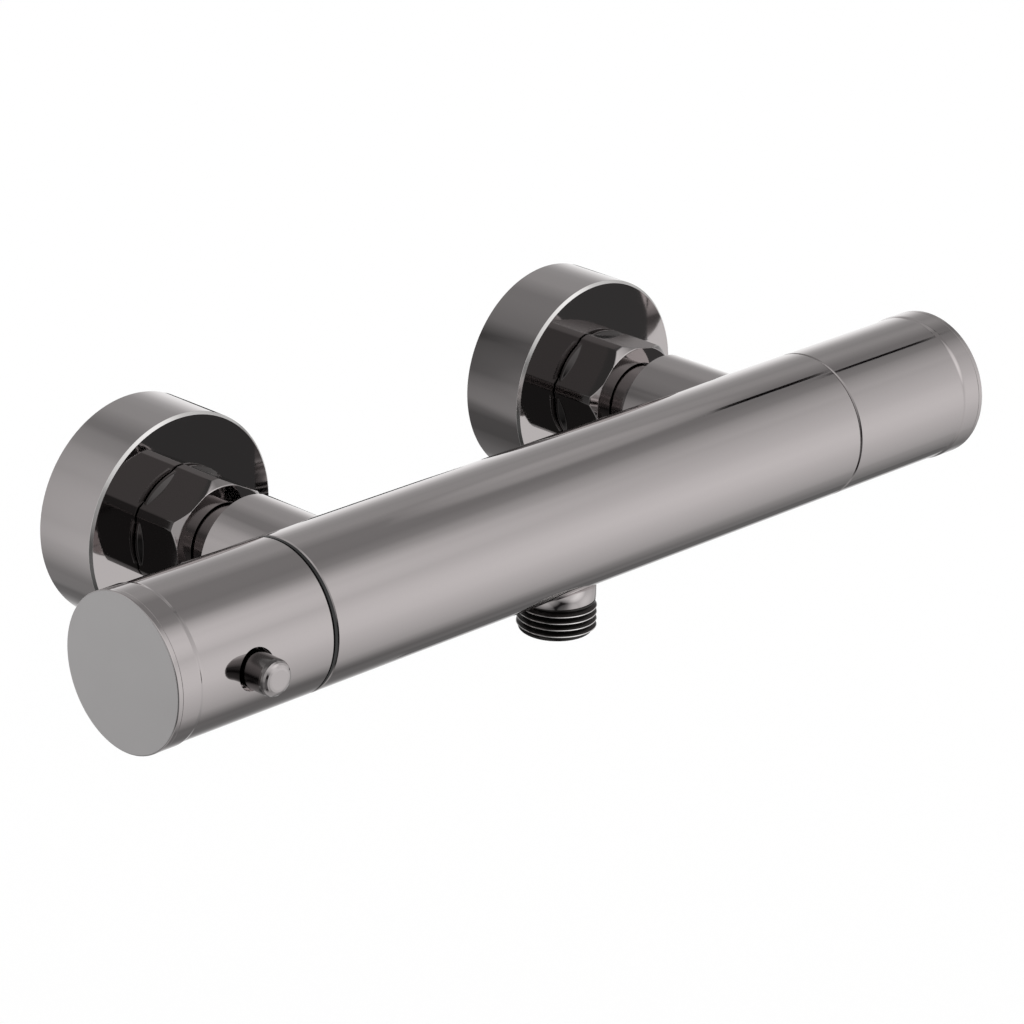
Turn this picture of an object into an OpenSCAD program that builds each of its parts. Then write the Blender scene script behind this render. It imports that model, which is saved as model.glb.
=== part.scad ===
// Thermostatic bar valve for an exposed shower, taken apart into its real pieces.
// Millimetres. The origin is on the wall, midway between the two inlets, at the height of the bar.
// +X runs along the bar to the flow handle, +Y into the wall and +Z up.

/* [Bar] */
// Outer diameter of the bar
bar_d = 40; // [39.5:0.5:46]
// Length of each handle, from its joint to its end face
handle_l = 50; // [47:0.5:65]
// Distance from the middle of an inlet to the nearer joint
inlet_to_joint = 20; // [18:0.5:26]
// Distance from the wall to the middle of the bar
wall_distance = 80; // [78:0.5:95]
// Width of the slip ring at the temperature handle
slip_ring_w = 0.8; // [0.6:0.1:2.5]
// Gap at the joint of the flow handle
joint_gap = 0.2; // [0.1:0.1:0.8]

/* [Handles] */
// Wall of the handle sleeves
sleeve_wall = 2.4; // [2:0.1:2.6]
// Rise of the band round the end of each handle
band_rise = 0.35; // [0.1:0.05:1]
// Length of that band
band_w = 6.6; // [4:0.2:10]
// Thickness of the end caps
cap_t = 1.5; // [1.2:0.1:3]
// Bevel at the edge of the end caps
cap_bevel = 0.3; // [0.1:0.1:0.6]
// Diameter of the safety button
button_d = 9.4; // [9:0.1:11]
// Distance from the joint to the middle of the button
button_from_joint = 25.5; // [25:0.5:27]
// Height of the button above the bar
button_proud = 8; // [7:0.5:14]
// Travel of the button
button_travel = 3; // [2:0.1:3.4]

/* [Inlets] */
// Distance between the two inlets
inlet_spacing = 150; // [130:0.5:180]
// Diameter of the inlet stubs behind the bar
stub_d = 30.8; // [29:0.1:32]
// Length of the necks that show between stubs and nuts
stub_gap = 8.7; // [6:0.1:11]
// Diameter of the necks between stubs and nuts
tail_neck_d = 20.4; // [19:0.1:20.8]
// Wall of the union nuts at the middle of their flats
nut_flat_wall = 1.7; // [1.2:0.1:3]
// Height of the turned corners of the nuts above their flats
nut_corner_rise = 1.7; // [1:0.1:2.2]
// Length of the union nuts
nut_l = 15.4; // [14:0.1:17]
// Height of the round collar behind the flats
nut_collar_rise = 1.2; // [0.8:0.1:2.4]
// Turn of the left nut about its axis
nut_turn_left = 28; // [0:1:60]
// Turn of the right nut about its axis
nut_turn_right = 12; // [0:1:60]

/* [Wall unions] */
// Outer diameter of the thread at the union nuts, G 3/4
union_thread_d = 26.44; // [26:0.02:26.5]
// Outer diameter of the thread at the wall, G 1/2
wall_thread_d = 20.955; // [20.5:0.005:21.2]
// Offset of the wall thread below the union
eccentricity = 7; // [5:0.5:8]
// Diameter of the rosettes
rosette_d = 60; // [56:0.5:70]
// Depth of the rosettes
rosette_depth = 20; // [18:0.5:22]
// Wall of the rosettes
rosette_wall = 1.6; // [1:0.1:2]
// Bevel at the front edge of the rosettes
rosette_bevel = 0.7; // [0.3:0.1:1.2]

/* [Outlet] */
// Outer diameter of the outlet thread, G 1/2
outlet_thread_d = 20.955; // [20.5:0.005:21.2]
// Diameter of the plain neck above the thread
outlet_neck_d = 20.4; // [20:0.1:20.5]
// Length of the neck below the bar
outlet_neck_l = 2.1; // [1:0.1:5]
// Turns of the outlet thread
outlet_turns = 5; // [4:1:8]
// Diameter of the waterway through the outlet
outlet_bore_d = 14; // [12:0.5:14.5]

/* [Fits] */
// Radial clearance of a running fit
run_fit = 0.08; // [0.05:0.01:0.1]
// Radial clearance between pieces that are fixed together
seat_fit = 0.05; // [0.02:0.01:0.1]
// Gap between pieces that pass each other
pass_gap = 0.3; // [0.2:0.05:0.4]

/* [Hidden] */

// Facets of a round piece, and the two sides of the valve
$fn = 96;
LEFT = -1;
RIGHT = 1;

// Overrun of every cut, edge break and pitch of the pipe threads
over = 1;
edge = 0.4;
pitch = 1.814;
wall_depth = 1.16;
thread_share = [0.12, 0.42, 0.58, 0.88];

// Places along the bar
body_length = inlet_spacing + 2 * inlet_to_joint;
bar_length = body_length + 2 * handle_l;
bar_r = bar_d / 2;
bar_y = -wall_distance;
x_hot = -inlet_spacing / 2;
x_cold = inlet_spacing / 2;
body_left = -(body_length - slip_ring_w) / 2;
body_right = (body_length - joint_gap) / 2;
sleeve_left = -(body_length + slip_ring_w) / 2 - pass_gap;
sleeve_right = (body_length + joint_gap) / 2;
face_x = bar_length / 2;
sleeve_in_r = bar_r - sleeve_wall;
slip_ring_drop = 0.15;
slip_ring_r = bar_r - slip_ring_drop;
band_slope = 1.6;
band_r = bar_r + band_rise;

// Waterways inside the body
chamber_r = 14.5;
nose_bore_r = 11.5;
port_pitch = 23;
port_land = 5.5;
nose_l = 8;
x_cold_port = x_hot + port_pitch;
x_step = x_cold_port + port_land;
x_chamber = x_step + nose_l;
lock_thread_r = 15.2;
lock_depth = 7;
head_chamber_r = 11;
head_depth = 44.8;
x_seat = body_right - head_depth;
head_thread_r = 13.1;
head_thread_l = 8.5;
gallery_r = 3;
gallery_wall = 1.5;
mixed_bore_r = 4.5;
cold_gallery_y = bar_r - gallery_wall - gallery_r;
outlet_gallery_z = -11;
outlet_gallery_run = 12;
outlet_gallery_x = x_seat + outlet_gallery_run;
inlet_bore_r = 7.5;
inlet_sill = 0.5;
inlet_floor = cold_gallery_y - gallery_r + inlet_sill;

// Outlet nipple
outlet_sill = 0.6;
nipple_top_z = outlet_gallery_z - gallery_r - outlet_sill;
nipple_neck_z = -bar_r - outlet_neck_l;
outlet_end_z = nipple_neck_z - outlet_turns * pitch;
outlet_void_r = 6.5;
outlet_void_top = outlet_gallery_z + gallery_r + outlet_sill;
outlet_key_flats = 12;
outlet_key_l = 6;
outlet_ring_r = 0.6;
outlet_ring_drop = 1.7;

// Places along an inlet, counted from the wall
rosette_front = -rosette_depth;
nut_back = rosette_front - pass_gap;
nut_front = nut_back - nut_l;
nut_wall = 3.4;
nut_hole_r = tail_neck_d / 2 + edge;
nut_bore_r = union_thread_d / 2 + run_fit;
nut_flats = 2 * (nut_bore_r + nut_flat_wall);
nut_corner_r = nut_flats / 2 + nut_corner_rise;
nut_collar_r = nut_flats / 2 + nut_collar_rise;
nut_chamfer_rise = 0.2;
nut_chamfer_r = nut_flats / 2 + nut_chamfer_rise;
nut_chamfer_l = 2;
nut_collar_t = 1.2;
nut_flare_l = 1.4;
flange_t = 2.5;
flange_play = 0.9;
flange_r = nut_bore_r - flange_play;
flange_gap = 0.1;
tail_end = nut_front + nut_wall + flange_gap + flange_t;
stub_end = nut_front - stub_gap;
stub_reach = stub_end - bar_y;
tail_screw_l = 7;
tail_screw_r = 10.4;
tail_bore_r = 5.6;
washer_t = 2;
washer_in_r = 8.2;
union_start = tail_end + washer_t;
mesh_t = 0.6;
mesh_bars = 9;
mesh_bar_w = 0.5;

// Check valves
check_r = 7.3;
check_l = 14.5;
check_wall = 1.2;
check_seat_t = 2;
check_seat_r = 3.8;
check_guide_t = 1.4;
check_stem_r = 1.2;
check_disc_r = 5;
check_disc_t = 1.5;
check_inset = 0.2;
check_start = tail_end - check_inset;
check_windows = 3;
check_window_r = 1.5;
check_window_pcd = 7.4;

// Eccentric unions and rosettes
union_thread_r = union_thread_d / 2;
union_front_l = 21.2;
union_bore_r = 8.5;
union_floor = 2.3;
wall_thread_r = wall_thread_d / 2;
wall_turns = 7;
wall_bore_r = 7.2;
wall_neck = 4;
wall_lead = 0.6;
wall_end = wall_turns * pitch + wall_lead;
union_step_r = 12.4;
union_step_drop_share = 0.64;
union_step_from = -10.6;
union_step_to = -2;
rosette_hole_r = union_thread_r + pass_gap;
rosette_in_r = rosette_d / 2 - rosette_wall;
gasket_w = 2.6;
gasket_t = 1.5;

// Thermostatic cartridge, along the bar
housing_left = body_left + lock_depth;
housing_r = chamber_r - pass_gap;
nose_r = nose_bore_r - edge / 2;
neck_r = 8.9;
neck_l = 13.7;
neck_end = body_left - neck_l;
spindle_r = 3.9;
spindle_bearing_l = 7;
hex_bore_flats = 12.2;
main_bore_r = 10;
nose_passage_r = 6;
main_bore_lead = 5;
main_bore_left = x_hot - main_bore_lead;
bore_shoulder = 1;
main_bore_right = x_step - bore_shoulder;
port_r = 1.5;
port_count = 6;
groove_depth = 1.2;
groove_w = 8;
o_ring_r = 0.97;
o_ring_w = 2.4;
o_ring_floor = 2.1;
hot_ring_x = (housing_left + x_hot - groove_w / 2) / 2;
mid_ring_x = (x_hot + x_cold_port) / 2;
nose_ring_x = (x_step + x_chamber) / 2;

// What moves inside the cartridge
collar_r = 5.6;
collar_t = 2.5;
collar_gap = 0.2;
collar_left = neck_end + spindle_bearing_l + collar_gap;
screw_r = 3;
nut_hex_flats = 12;
adjuster_l = 18;
adjuster_gap = 2.8;
adjuster_left = collar_left + collar_t + adjuster_gap;
adjuster_right = adjuster_left + adjuster_l;
adjuster_thread_l = 8;
cup_r = 4.7;
screw_engaged = 5.5;
screw_end = adjuster_left + screw_engaged;
cup_floor = adjuster_left + adjuster_thread_l;
pin_head_t = 1.7;
pin_head_r = 4.5;
pin_head_in = 2.5;
pin_head_left = adjuster_right - pin_head_in;
pin_r = 1.6;
piston_r = 1.3;
piston_l = 4.1;
wax_lead = 2.95;
wax_left = mid_ring_x - wax_lead;
pin_l = wax_left - piston_l - pin_head_left - pin_head_t;
wax_flange_r = 5.5;
wax_flange_t = 3.2;
wax_r = 4.2;
wax_l = 20.5;
shuttle_wall = 1;
shuttle_lead = 3.4;
shuttle_tail = 2;
shuttle_left = x_hot - shuttle_lead;
shuttle_right = x_cold_port + shuttle_tail;
hot_offset = 0.9;
cold_offset = 2.1;
shuttle_ports = [x_hot + hot_offset, x_cold_port - cold_offset];
shuttle_port_r = 1.2;
shuttle_groove = 0.4;
web_left = wax_left + wax_flange_t + flange_gap;
web_t = 3;
web_holes = 6;
web_hole_r = 1.1;
web_hole_pcd = 13.6;

// Lock nut, stop rings and inserts
lock_collar_l = 1.8;
lock_hex_flats = 24;
lock_l = 7;
stop_t = 3;
stop_gap = 0.8;
stop_finger_w = 2.6;
stop_r = sleeve_in_r - stop_gap;
stop_in_r = stop_r - stop_finger_w;
stop_finger_l = 6.5;
stop_margin = 8.5;
stop_inset = 1.5;
temp_stop_left = neck_end + stop_inset;
front_a = -90;
hot_limit = 70;
cold_limit = 180;
flow_limit = 90;
tongue_w = 3.6;
insert_t = 3.5;
insert_hub_r = 7.5;
screw_head_t = 2.5;
screw_head_gap = 0.6;
insert_end = face_x - cap_t - screw_head_gap - screw_head_t;
insert_floor = 1.5;
spindle_end = insert_end - insert_floor;
spline_l = 9;
screw_head_r = 3.8;
screw_shank_r = 1.9;
screw_shank_l = 9;
screw_slot = 1;
cap_lip_r = sleeve_in_r - edge;
cap_lip_t = 1.2;
cap_lip_l = 2.5;

// Safety button, with heights counted from the middle of the bar
button_r = button_d / 2;
button_x = -body_length / 2 - button_from_joint;
button_top = bar_r + button_proud;
button_gap = 0.8;
button_flange_w = 1.6;
button_flange_r = button_r + button_flange_w;
button_flange_t = 1.5;
button_flange_top = sqrt(pow(sleeve_in_r, 2) - pow(button_flange_r, 2)) - pass_gap;
button_flange_low = button_flange_top - button_flange_t;
button_wall = 1.4;
button_cup_r = button_r - button_wall;
button_lid = 2.4;
button_round = 2.2;
tongue_gap = 3.3;
button_tongue_end = neck_end - tongue_gap;
post_r = button_cup_r - run_fit;
post_rise = 0.7;
post_ledge = 1.1;
post_foot_r = button_cup_r + post_ledge;
post_foot_top = button_flange_low - button_travel - seat_fit;
post_top = button_flange_top + post_rise;
arm_gap = 1.3;
arm_low = spindle_r + arm_gap;
arm_t = 3;
arm_w = 7;
temp_insert_left = button_x - button_flange_r - post_rise - insert_t;

// Flow cartridge
seal_t = 3;
seal_r = 9.2;
disc_t = 3.5;
disc_r = 9;
disc_port_r = 2.4;
disc_port_at = 5;
seal_in_r = disc_port_at + disc_port_r;
disc_bore_r = 9.3;
head_lead = 1;
head_left = x_seat + head_lead;
foot_t = 3.5;
foot_r = 8.8;
foot_slot_w = 5;
foot_slot_l = 2.2;
x_discs = x_seat + seal_t;
x_foot = x_discs + 2 * disc_t;
head_bore_end = x_foot + foot_t + pass_gap;
head_r = head_chamber_r - flange_gap;
head_hex_flats = 24;
head_hex_l = 6;
head_neck_r = 8;
head_neck_l = 4.2;
head_neck_end = body_right + head_hex_l + head_neck_l;
head_window_from = 4;
head_window_l = 5;
head_window_w = 10;
head_ring_at = 22;
head_ring_x = x_seat + head_ring_at;
head_ring_r = 0.72;
head_ring_floor = 1.6;
flow_shaft_r = 4.9;
flow_ring_r = 0.62;
flow_ring_floor = 1.35;
flow_rings_at = 30;
flow_rings_step = 5;
flow_rings_x = [x_seat + flow_rings_at, x_seat + flow_rings_at + flow_rings_step];
clip_t = 1;
clip_r = 6.5;
clip_groove_r = 3.3;
flow_insert_gap = 7;
flow_insert_left = head_neck_end + flow_insert_gap;
flow_tongue_l = 6;

// Springs: eight rings of six sides a turn
turn_rings = 8;
wire_sides = 6;
button_coil_r = 2.3;
button_wire_r = 0.4;
button_turns = 5;
check_coil_r = 3;
check_wire_r = 0.35;
check_turns = 5;
overload_coil_r = 3.5;
overload_wire_r = 0.5;
overload_turns = 4;
return_coil_r = 7.8;
return_wire_r = 0.7;
return_turns = 4;

// Places a shape drawn on +Z along the bar
module on_bar(x = 0) {
    translate([x, bar_y, 0]) rotate([0, 90, 0]) children();
}

// Places a shape drawn on +Z so that it runs to the wall
module to_wall(x, y, z = 0) {
    translate([x, y, z]) rotate([-90, 0, 0]) children();
}

// Places a shape drawn on +Z so that it points to the front, from the middle of the bar
module to_front(x) {
    translate([x, bar_y, 0]) rotate([90, 0, 0]) children();
}

// A ring or disc from a to b
module tube(r, a, b, hole = 0) {
    difference() {
        translate([0, 0, a]) cylinder(r = r, h = b - a);
        if (hole > 0) translate([0, 0, a - over]) cylinder(r = hole, h = b - a + 2 * over);
    }
}

// A six-sided bar from a to b
module hexagon(flats, a, b) {
    translate([0, 0, a]) cylinder(r = flats / sqrt(3), h = b - a, $fn = 6);
}

// A turned piece: points are [radius, place]
module turned(outline) {
    rotate_extrude() polygon(outline);
}

// A rubber ring lying round +Z
module o_ring(place, floor_r, wire) {
    translate([0, 0, place]) rotate_extrude() translate([floor_r + seat_fit + wire, 0]) circle(r = wire, $fn = 32);
}

// The groove that holds it
module o_groove(place, floor_r, outer_r, w) {
    tube(outer_r + over, place - w / 2, place + w / 2, floor_r);
}

// Thread drawn as rings of the right pitch, with a core
module thread(r, depth, turns) {
    for (i = [0:turns - 1]) translate([0, 0, i * pitch]) turned([
        [0, 0], [r - depth, 0],
        [r - depth, thread_share[0] * pitch], [r, thread_share[1] * pitch],
        [r, thread_share[2] * pitch], [r - depth, thread_share[3] * pitch],
        [r - depth, pitch], [0, pitch]
    ]);
}

// Part of a ring, from angle a to angle b round +Z
module sector(r, hole, a, b, from, to) {
    translate([0, 0, from]) rotate([0, 0, a]) rotate_extrude(angle = b - a)
        polygon([[hole, 0], [r, 0], [r, to - from], [hole, to - from]]);
}

// Points of the middle of a spring's wire
function coil_at(i, radius, wire, l, turns) =
    let (a = i * 360 / turn_rings)
    [radius * cos(a), radius * sin(a), wire + i * (l - 2 * wire) / (turns * turn_rings)];

// Least gap between one turn and the next
function coil_gap(radius, wire, l, turns) =
    min([for (i = [0:(turns - 1) * turn_rings])
        norm(coil_at(i + turn_rings, radius, wire, l, turns) - coil_at(i, radius, wire, l, turns))]) - 2 * wire;

// A helical spring from 0 to l
module coil(radius, wire, turns, l, name) {
    last = turns * turn_rings;
    echo(spring = name, least_gap = coil_gap(radius, wire, l, turns));
    points = [for (i = [0:last]) let (a = i * 360 / turn_rings, c = coil_at(i, radius, wire, l, turns))
        for (k = [0:wire_sides - 1]) let (t = k * 360 / wire_sides)
            c + wire * [cos(t) * cos(a), cos(t) * sin(a), sin(t)]];
    sides = [for (i = [0:last - 1]) for (k = [0:wire_sides - 1])
        let (n = (k + 1) % wire_sides, p = i * wire_sides, q = p + wire_sides)
            each [[p + k, q + k, q + n], [p + k, q + n, p + n]]];
    ends = [for (k = [1:wire_sides - 2])
        each [[0, k, k + 1], [last * wire_sides, last * wire_sides + k + 1, last * wire_sides + k]]];
    polyhedron(points, concat(sides, ends));
}

// Cast brass body with its two chambers, four waterways and two inlet stubs
module valve_body() color([0.42, 0.41, 0.4]) difference() {
    union() {
        on_bar() turned([
            [0, body_left], [bar_r - edge, body_left], [bar_r, body_left + edge],
            [bar_r, body_right - edge], [bar_r - edge, body_right], [0, body_right]
        ]);
        for (x = [x_hot, x_cold]) to_wall(x, bar_y) turned([
            [0, 0], [stub_d / 2, 0], [stub_d / 2, stub_reach - edge],
            [stub_d / 2 - edge, stub_reach], [0, stub_reach]
        ]);
    }
    on_bar() {
        tube(chamber_r, body_left - over, x_step);
        tube(lock_thread_r + seat_fit, body_left - over, housing_left);
        tube(nose_bore_r, x_step - over, x_chamber);
        tube(mixed_bore_r, x_chamber - over, x_seat + over);
        tube(head_chamber_r, x_seat, body_right + over);
        tube(head_thread_r + seat_fit, body_right - head_thread_l, body_right + over);
        translate([0, cold_gallery_y, 0]) tube(gallery_r, x_cold_port - gallery_r, x_cold);
        translate([-outlet_gallery_z, 0, 0]) tube(gallery_r, 0, outlet_gallery_x);
    }
    to_wall(x_hot, bar_y) {
        tube(inlet_bore_r, chamber_r / 2, stub_reach);
        tube(tail_screw_r + seat_fit, stub_reach - tail_screw_l, stub_reach + over);
    }
    to_wall(x_cold, bar_y) {
        tube(inlet_bore_r, inlet_floor, stub_reach);
        tube(tail_screw_r + seat_fit, stub_reach - tail_screw_l, stub_reach + over);
    }
    translate([0, bar_y, 0]) {
        tube(outlet_neck_d / 2 + seat_fit, -bar_r - over, nipple_top_z);
        tube(outlet_void_r, nipple_top_z - over, outlet_void_top);
    }
}

// Outlet nipple, screwed up into the body with a hexagon key
module outlet_nipple() color([0.38, 0.37, 0.36]) translate([0, bar_y, 0]) difference() {
    union() {
        tube(outlet_neck_d / 2, nipple_neck_z, nipple_top_z);
        translate([0, 0, outlet_end_z]) thread(outlet_thread_d / 2, wall_depth, outlet_turns);
    }
    tube(outlet_bore_d / 2 - edge, outlet_end_z - over, nipple_top_z + over);
    tube(outlet_bore_d / 2, outlet_end_z - over, nipple_neck_z - pitch);
    hexagon(outlet_key_flats, nipple_top_z - outlet_key_l, nipple_top_z + over);
    o_groove(nipple_top_z - outlet_ring_drop, outlet_neck_d / 2 - 2 * outlet_ring_r - seat_fit,
        outlet_neck_d / 2, 2 * outlet_ring_r + edge);
}

module outlet_o_ring() color([0.08, 0.08, 0.08]) translate([0, bar_y, 0])
    o_ring(nipple_top_z - outlet_ring_drop, outlet_neck_d / 2 - 2 * outlet_ring_r - seat_fit, outlet_ring_r);

// Black ring on which the temperature handle turns against the body
module slip_ring() color([0.05, 0.05, 0.05]) on_bar()
    tube(slip_ring_r, body_left - slip_ring_w, body_left, lock_thread_r + pass_gap);

// Brass tail screwed into a stub; its flange is held by the union nut
module inlet_tail(x) color([0.3, 0.29, 0.28]) to_wall(x, 0) difference() {
    turned([
        [0, stub_end - tail_screw_l + seat_fit], [tail_screw_r, stub_end - tail_screw_l + seat_fit],
        [tail_screw_r, stub_end], [tail_neck_d / 2, stub_end], [tail_neck_d / 2, tail_end - flange_t],
        [flange_r, tail_end - flange_t], [flange_r, tail_end], [0, tail_end]
    ]);
    tube(tail_bore_r, stub_end - tail_screw_l - over, tail_end);
    tube(check_r + seat_fit, check_start - check_l - check_inset, tail_end + over);
}

// Union nut: flats with turned corners that run out on a round collar
module union_nut(x, turn) color([0.33, 0.32, 0.31]) to_wall(x, nut_front) rotate([0, 0, turn]) difference() {
    union() {
        intersection() {
            hexagon(nut_flats, 0, nut_l);
            turned([
                [0, 0], [nut_chamfer_r, 0], [nut_corner_r, nut_chamfer_l],
                [nut_corner_r, nut_l], [0, nut_l]
            ]);
        }
        turned([
            [0, nut_l - nut_collar_t - nut_flare_l], [nut_flats / 2 - edge, nut_l - nut_collar_t - nut_flare_l],
            [nut_collar_r, nut_l - nut_collar_t], [nut_collar_r, nut_l - edge],
            [nut_collar_r - edge, nut_l], [0, nut_l]
        ]);
    }
    tube(nut_hole_r, -over, nut_wall + over);
    tube(nut_bore_r, nut_wall, nut_l + over);
}

module inlet_washer(x) color([0.07, 0.07, 0.07]) to_wall(x, 0) difference() {
    tube(flange_r, tail_end, union_start, washer_in_r);
    tube(washer_in_r + edge + seat_fit, union_start - mesh_t - seat_fit, union_start + over);
}

// Fine steel mesh held in the washer
module strainer(x) color([0.7, 0.7, 0.72]) to_wall(x, union_start - mesh_t) {
    tube(washer_in_r + edge, 0, mesh_t, washer_in_r - mesh_bar_w);
    step = 2 * washer_in_r / mesh_bars;
    intersection() {
        tube(washer_in_r, 0, mesh_t);
        for (turn = [0, 90], i = [1:mesh_bars - 1]) rotate([0, 0, turn])
            translate([i * step - washer_in_r - mesh_bar_w / 2, -washer_in_r, 0])
                cube([mesh_bar_w, 2 * washer_in_r, mesh_t]);
    }
}

// Plastic non-return cartridge in the tail
module check_valve_housing(x) color([0.85, 0.85, 0.82]) to_wall(x, check_start - check_l) difference() {
    tube(check_r, 0, check_l);
    tube(check_r - check_wall, check_guide_t, check_l - check_seat_t);
    tube(check_seat_r, check_l - check_seat_t - over, check_l + over);
    tube(check_stem_r + run_fit, -over, check_guide_t + over);
    for (i = [0:check_windows - 1]) rotate([0, 0, i * 360 / check_windows])
        translate([check_window_pcd / 2, 0, 0]) tube(check_window_r, -over, check_guide_t + over);
}

module check_valve_poppet(x) color([0.2, 0.4, 0.65]) to_wall(x, check_start - check_seat_t - seat_fit)
    turned([
        [0, -check_l + check_seat_t + check_guide_t / 2], [check_stem_r, -check_l + check_seat_t + check_guide_t / 2],
        [check_stem_r, -check_disc_t], [check_disc_r, -check_disc_t], [check_disc_r, 0], [0, 0]
    ]);

module check_valve_spring(x, name) color([0.75, 0.75, 0.78])
    to_wall(x, check_start - check_l + check_guide_t + seat_fit)
        coil(check_coil_r, check_wire_r, check_turns,
            check_l - check_seat_t - check_guide_t - check_disc_t - 3 * seat_fit, name);

// Eccentric union between the nut and the pipe in the wall
module eccentric_union(x) color([0.5, 0.42, 0.2]) to_wall(x, 0) {
    turns = floor(union_front_l / pitch);
    front_end = union_start + union_front_l;
    difference() {
        union() {
            translate([0, 0, union_start]) thread(union_thread_r, wall_depth, turns);
            tube(union_thread_r, union_start + turns * pitch - over, front_end + union_floor / 2);
            translate([0, union_step_drop_share * eccentricity, 0])
                tube(union_step_r, union_step_from, union_step_to);
            translate([0, eccentricity, 0]) {
                tube(wall_thread_r - wall_depth, -wall_neck, wall_end);
                thread(wall_thread_r, wall_depth, wall_turns);
            }
        }
        tube(union_bore_r, union_start - over, front_end);
        translate([0, eccentricity, 0]) tube(wall_bore_r, front_end - union_floor, wall_end + over);
    }
}

// Deep round cover over the hole in the wall
module rosette(x) color([0.45, 0.44, 0.43]) to_wall(x, 0) difference() {
    turned([
        [0, rosette_front], [rosette_d / 2 - rosette_bevel, rosette_front],
        [rosette_d / 2, rosette_front + rosette_bevel], [rosette_d / 2, 0], [0, 0]
    ]);
    tube(rosette_hole_r, rosette_front - over, over);
    tube(rosette_in_r, rosette_front + rosette_wall, over);
}

module rosette_gasket(x) color([0.1, 0.1, 0.1]) to_wall(x, 0)
    tube(rosette_in_r - seat_fit, -gasket_t, 0, rosette_in_r - gasket_w);

// Brass housing of the thermostatic cartridge
module thermostat_housing() color([0.72, 0.58, 0.3]) on_bar() difference() {
    turned([
        [0, neck_end], [neck_r, neck_end], [neck_r, housing_left], [housing_r, housing_left],
        [housing_r, x_step - seat_fit], [nose_r, x_step - seat_fit], [nose_r, x_chamber - seat_fit],
        [0, x_chamber - seat_fit]
    ]);
    tube(spindle_r + run_fit, neck_end - over, neck_end + spindle_bearing_l + over);
    hexagon(hex_bore_flats, neck_end + spindle_bearing_l, main_bore_left + over);
    tube(main_bore_r, main_bore_left, main_bore_right);
    tube(nose_passage_r, main_bore_right - over, x_chamber + over);
    for (x = [x_hot, x_cold_port]) {
        o_groove(x, housing_r - groove_depth, housing_r, x == x_hot ? groove_w : 2 * port_r + edge);
        for (i = [0:port_count - 1]) rotate([0, 0, i * 360 / port_count]) translate([0, 0, x])
            rotate([0, 90, 0]) cylinder(r = port_r, h = chamber_r + over);
    }
    for (x = [hot_ring_x, mid_ring_x]) o_groove(x, chamber_r - o_ring_floor, housing_r, o_ring_w);
    o_groove(nose_ring_x, nose_bore_r - o_ring_floor, nose_r, o_ring_w);
}

module thermostat_o_rings() color([0.08, 0.08, 0.08]) on_bar() {
    for (x = [hot_ring_x, mid_ring_x]) o_ring(x, chamber_r - o_ring_floor, o_ring_r);
    o_ring(nose_ring_x, nose_bore_r - o_ring_floor, o_ring_r);
}

// Ring nut that clamps the cartridge in the body
module cartridge_lock_nut() color([0.75, 0.62, 0.33]) on_bar() difference() {
    union() {
        tube(lock_thread_r, body_left - lock_collar_l, housing_left);
        hexagon(lock_hex_flats, body_left - lock_l, body_left - lock_collar_l + over);
    }
    tube(neck_r + seat_fit, body_left - lock_l - over, housing_left + over);
}

// Stop ring with a finger that covers the angles the handle can't reach.
// Angles are counted from the front, positive as the front of the handle goes down.
module stop_finger(from, to, a, b) {
    sector(stop_r - edge, stop_in_r, front_a + from + stop_margin, front_a + 360 + to - stop_margin, a, b);
}

module temperature_stop_ring() color([0.9, 0.9, 0.88]) on_bar() {
    tube(stop_r, temp_stop_left, temp_stop_left + stop_t, neck_r + seat_fit);
    stop_finger(cold_limit, -hot_limit, temp_stop_left - stop_finger_l, temp_stop_left + edge);
}

// Spindle of the temperature handle, with its collar and screw
module temperature_spindle() color([0.75, 0.62, 0.33]) on_bar() difference() {
    spline_end = -spline_from(-temp_insert_left - insert_t);
    union() {
        tube(spindle_r, spline_end, collar_left);
        translate([0, 0, -spindle_end]) cylinder(r = spindle_r, h = spindle_end + spline_end, $fn = 12);
        tube(collar_r, collar_left, collar_left + collar_t);
        tube(screw_r, collar_left + collar_t, screw_end);
    }
    tube(screw_shank_r + seat_fit, -spindle_end - over, -spindle_end + screw_shank_l);
}

// Six-sided nut that can't turn, so the spindle's screw moves it along the bar
module adjusting_nut() color([0.8, 0.68, 0.4]) on_bar() difference() {
    hexagon(nut_hex_flats, adjuster_left, adjuster_right);
    tube(screw_r + run_fit, adjuster_left - over, cup_floor + over);
    tube(cup_r, cup_floor, adjuster_right + over);
}

module overload_spring() color([0.75, 0.75, 0.78]) on_bar(cup_floor + seat_fit)
    coil(overload_coil_r, overload_wire_r, overload_turns, pin_head_left - cup_floor - 2 * seat_fit, "overload");

module push_pin() color([0.7, 0.7, 0.72]) on_bar() {
    tube(pin_head_r, pin_head_left, pin_head_left + pin_head_t);
    tube(pin_r, pin_head_left + pin_head_t, pin_head_left + pin_head_t + pin_l);
}

// Wax element: it grows when the mixed water is warm and pushes the shuttle
module wax_element() color([0.72, 0.45, 0.3]) on_bar() {
    tube(piston_r, pin_head_left + pin_head_t + pin_l, wax_left);
    tube(wax_flange_r, wax_left, wax_left + wax_flange_t);
    tube(wax_r, wax_left + wax_flange_t, wax_left + wax_l);
}

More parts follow.
